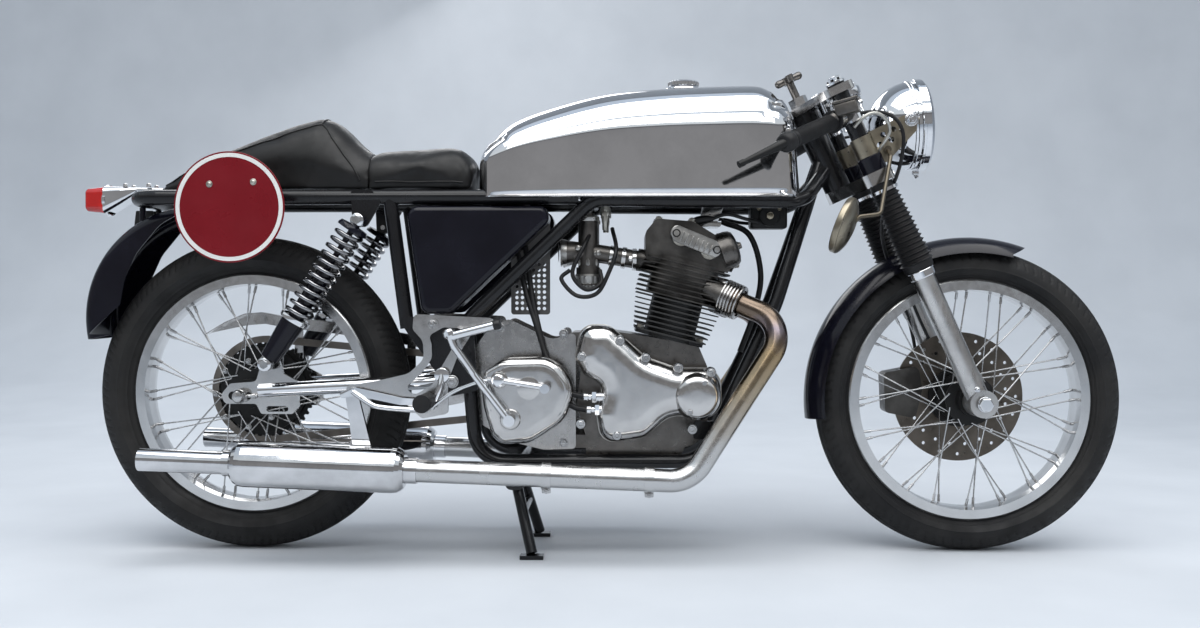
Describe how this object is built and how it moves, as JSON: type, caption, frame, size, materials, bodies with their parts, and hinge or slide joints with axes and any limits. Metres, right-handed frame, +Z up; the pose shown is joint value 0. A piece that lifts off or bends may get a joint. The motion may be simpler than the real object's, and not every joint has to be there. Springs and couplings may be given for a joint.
{
  "type": "cafe racer motorcycle",
  "caption": "Cafe racer motorcycle with a polished alloy tank, humped seat, laced wire wheels, a finned twin engine, gaitered fork and low swept exhausts, stood on its centre stand.",
  "frame": {"origin": "centre of the bounding box in X and Y, on the floor that the tyres and the stand feet rest on", "axes": "+X to the front of the machine, +Y to the rider's left, +Z up"},
  "size_m": [2.101, 0.5988, 0.9653],
  "materials": {
    "black_heat_paint": "matte",
    "black_leather": "satin",
    "black_paint": "gloss",
    "black_rubber": "matte",
    "chrome": "polished",
    "lamp_glass": "polished",
    "polished_alloy": "polished",
    "red_lens": "polished",
    "red_paint": "gloss",
    "rim_alloy": "polished",
    "satin_alloy": "satin",
    "steel": "satin",
    "tyre_rubber": "matte"
  },
  "bodies": {
    "chassis": {"axle_plates": "satin_alloy", "carburettors": "satin_alloy", "chain": "steel", "chain_guard": "polished_alloy", "chassis_bolts": "steel", "crankcase": "satin_alloy", "cylinder_block": "black_heat_paint", "cylinder_head": "satin_alloy", "engine_plates": "black_paint", "exhaust_pipes": "chrome", "foot_levers": "chrome", "footrest_hangers": "polished_alloy", "frame": "black_paint", "fuel_tank": "polished_alloy", "gearbox": "polished_alloy", "number_board": "red_paint", "perforated_guard": "steel", "primary_case": "polished_alloy", "rear_axle": "steel", "rear_dampers": "black_paint", "rear_mudguard": "black_paint", "rear_springs": "chrome", "seat_hump": "black_leather", "seat_pad": "black_leather", "side_panels": "black_paint", "silencers": "chrome", "swing_arm": "black_paint", "tail_lamp": "chrome", "tail_lens": "red_lens", "timing_cover": "polished_alloy"},
    "steering": {"fork_yokes": "polished_alloy", "fork_tubes": "chrome", "fork_gaiters": "black_rubber", "fork_sliders": "satin_alloy", "front_axle": "steel", "front_mudguard": "polished_alloy", "brake_caliper": "black_paint", "headlamp_shell": "chrome", "headlamp_rim": "chrome", "headlamp_lens": "lamp_glass", "headlamp_brackets": "polished_alloy", "mirror": "chrome", "clip_on_bars": "chrome", "grips": "black_rubber", "levers": "chrome", "gauges": "chrome", "steering_damper": "steel"},
    "front_wheel": {"front_tyre": "tyre_rubber", "front_rim": "rim_alloy", "front_spokes": "steel", "front_hub": "satin_alloy", "brake_disc": "steel"},
    "rear_wheel": {"rear_tyre": "tyre_rubber", "rear_rim": "rim_alloy", "rear_spokes": "steel", "rear_hub": "satin_alloy"},
    "centre_stand": {"centre_stand": "black_paint"}
  },
  "joints": [
    {"name": "steering_turn", "type": "hinge", "parent": "chassis", "child": "steering", "pos_m": [0.6899, 0, 0.28111], "axis": [-0.4147, 0, 0.91], "range_deg": [-22, 22]},
    {"name": "front_wheel_spin", "type": "hinge", "parent": "steering", "child": "front_wheel", "pos_m": [0.7445, 0, 0.306], "axis": [0, 1, 0], "continuous": true},
    {"name": "rear_wheel_spin", "type": "hinge", "parent": "chassis", "child": "rear_wheel", "pos_m": [-0.7055, 0, 0.318], "axis": [0, 1, 0], "continuous": true},
    {"name": "centre_stand_fold", "type": "hinge", "parent": "chassis", "child": "centre_stand", "pos_m": [-0.167, 0, 0.146], "axis": [0, 1, 0], "range_deg": [0, 92]}
  ]
}
